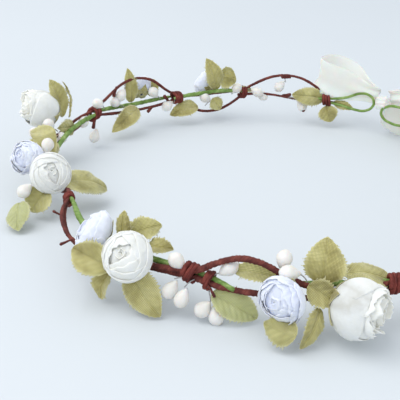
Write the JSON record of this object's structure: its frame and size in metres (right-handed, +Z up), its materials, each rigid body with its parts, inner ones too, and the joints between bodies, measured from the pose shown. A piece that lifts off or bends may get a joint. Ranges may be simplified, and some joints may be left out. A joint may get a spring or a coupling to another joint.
{
  "type": "flower_crown",
  "caption": "Flower crown: knotted paper vine strands with open arches, leaf sprays, cream and white paper roses, pearly buds and a ribbon tie at the back",
  "frame": {"origin": "the centre of the head opening, on the surface that the crown rests on", "axes": "+Z is up through the head opening, -Y is the front of the crown, +Y is the ribbon tie, and +X is the wearer's left when it is worn with the front forwards"},
  "size_m": [0.2052, 0.2177, 0.0345],
  "materials": {
    "vine_paper": "twisted paper, matt",
    "binding_paper": "twisted paper, matt",
    "stem_paper": "wrinkled floral tape, satin",
    "leaf_cloth": "stiffened woven cloth, matt",
    "rose_cream": "soft crumpled paper, matt",
    "rose_white": "soft crumpled paper, matt",
    "bud_pearl": "waxed, faint pearl sheen",
    "ribbon_satin": "thin satin, translucent"
  },
  "bodies": {
    "root": {"binding_front": "binding_paper", "binding_left_back": "binding_paper", "binding_left_front": "binding_paper", "binding_left_side": "binding_paper", "binding_right_back": "binding_paper", "binding_right_front": "binding_paper", "binding_right_side": "binding_paper", "bindings_at_tie": "binding_paper", "bindings_rear": "binding_paper", "buds_front": "bud_pearl", "buds_left_arch": "bud_pearl", "buds_left_back": "bud_pearl", "buds_left_front": "bud_pearl", "buds_left_rear": "bud_pearl", "buds_left_side": "bud_pearl", "buds_right_arch": "bud_pearl", "buds_right_front": "bud_pearl", "buds_right_rear": "bud_pearl", "buds_right_side": "bud_pearl", "eyelet_left": "stem_paper", "eyelet_right": "stem_paper", "leaves_front": "leaf_cloth", "leaves_left_arch": "leaf_cloth", "leaves_left_back": "leaf_cloth", "leaves_left_front": "leaf_cloth", "leaves_left_rear": "leaf_cloth", "leaves_left_side": "leaf_cloth", "leaves_right_arch": "leaf_cloth", "leaves_right_back": "leaf_cloth", "leaves_right_front": "leaf_cloth", "leaves_right_rear": "leaf_cloth", "leaves_right_side": "leaf_cloth", "ribbon_knot": "ribbon_satin", "ribbon_loop_left": "ribbon_satin", "ribbon_loop_right": "ribbon_satin", "ribbon_tails": "ribbon_satin", "rose_cream_front": "rose_cream", "rose_cream_left_front": "rose_cream", "rose_cream_left_side": "rose_cream", "rose_cream_right_front": "rose_cream", "rose_cream_right_side": "rose_cream", "rose_white_front": "rose_white", "rose_white_left_arch": "rose_white", "rose_white_left_back": "rose_white", "rose_white_left_front": "rose_white", "rose_white_right_arch": "rose_white", "rose_white_right_back": "rose_white", "rose_white_right_front": "rose_white", "stem_front": "stem_paper", "stem_left_arch": "stem_paper", "stem_left_back": "stem_paper", "stem_left_front": "stem_paper", "stem_left_side": "stem_paper", "stem_right_arch": "stem_paper", "stem_right_back": "stem_paper", "stem_right_front": "stem_paper", "stem_right_side": "stem_paper", "vine_high": "vine_paper", "vine_low": "vine_paper", "vine_twigs": "vine_paper"}
  },
  "joints": []
}
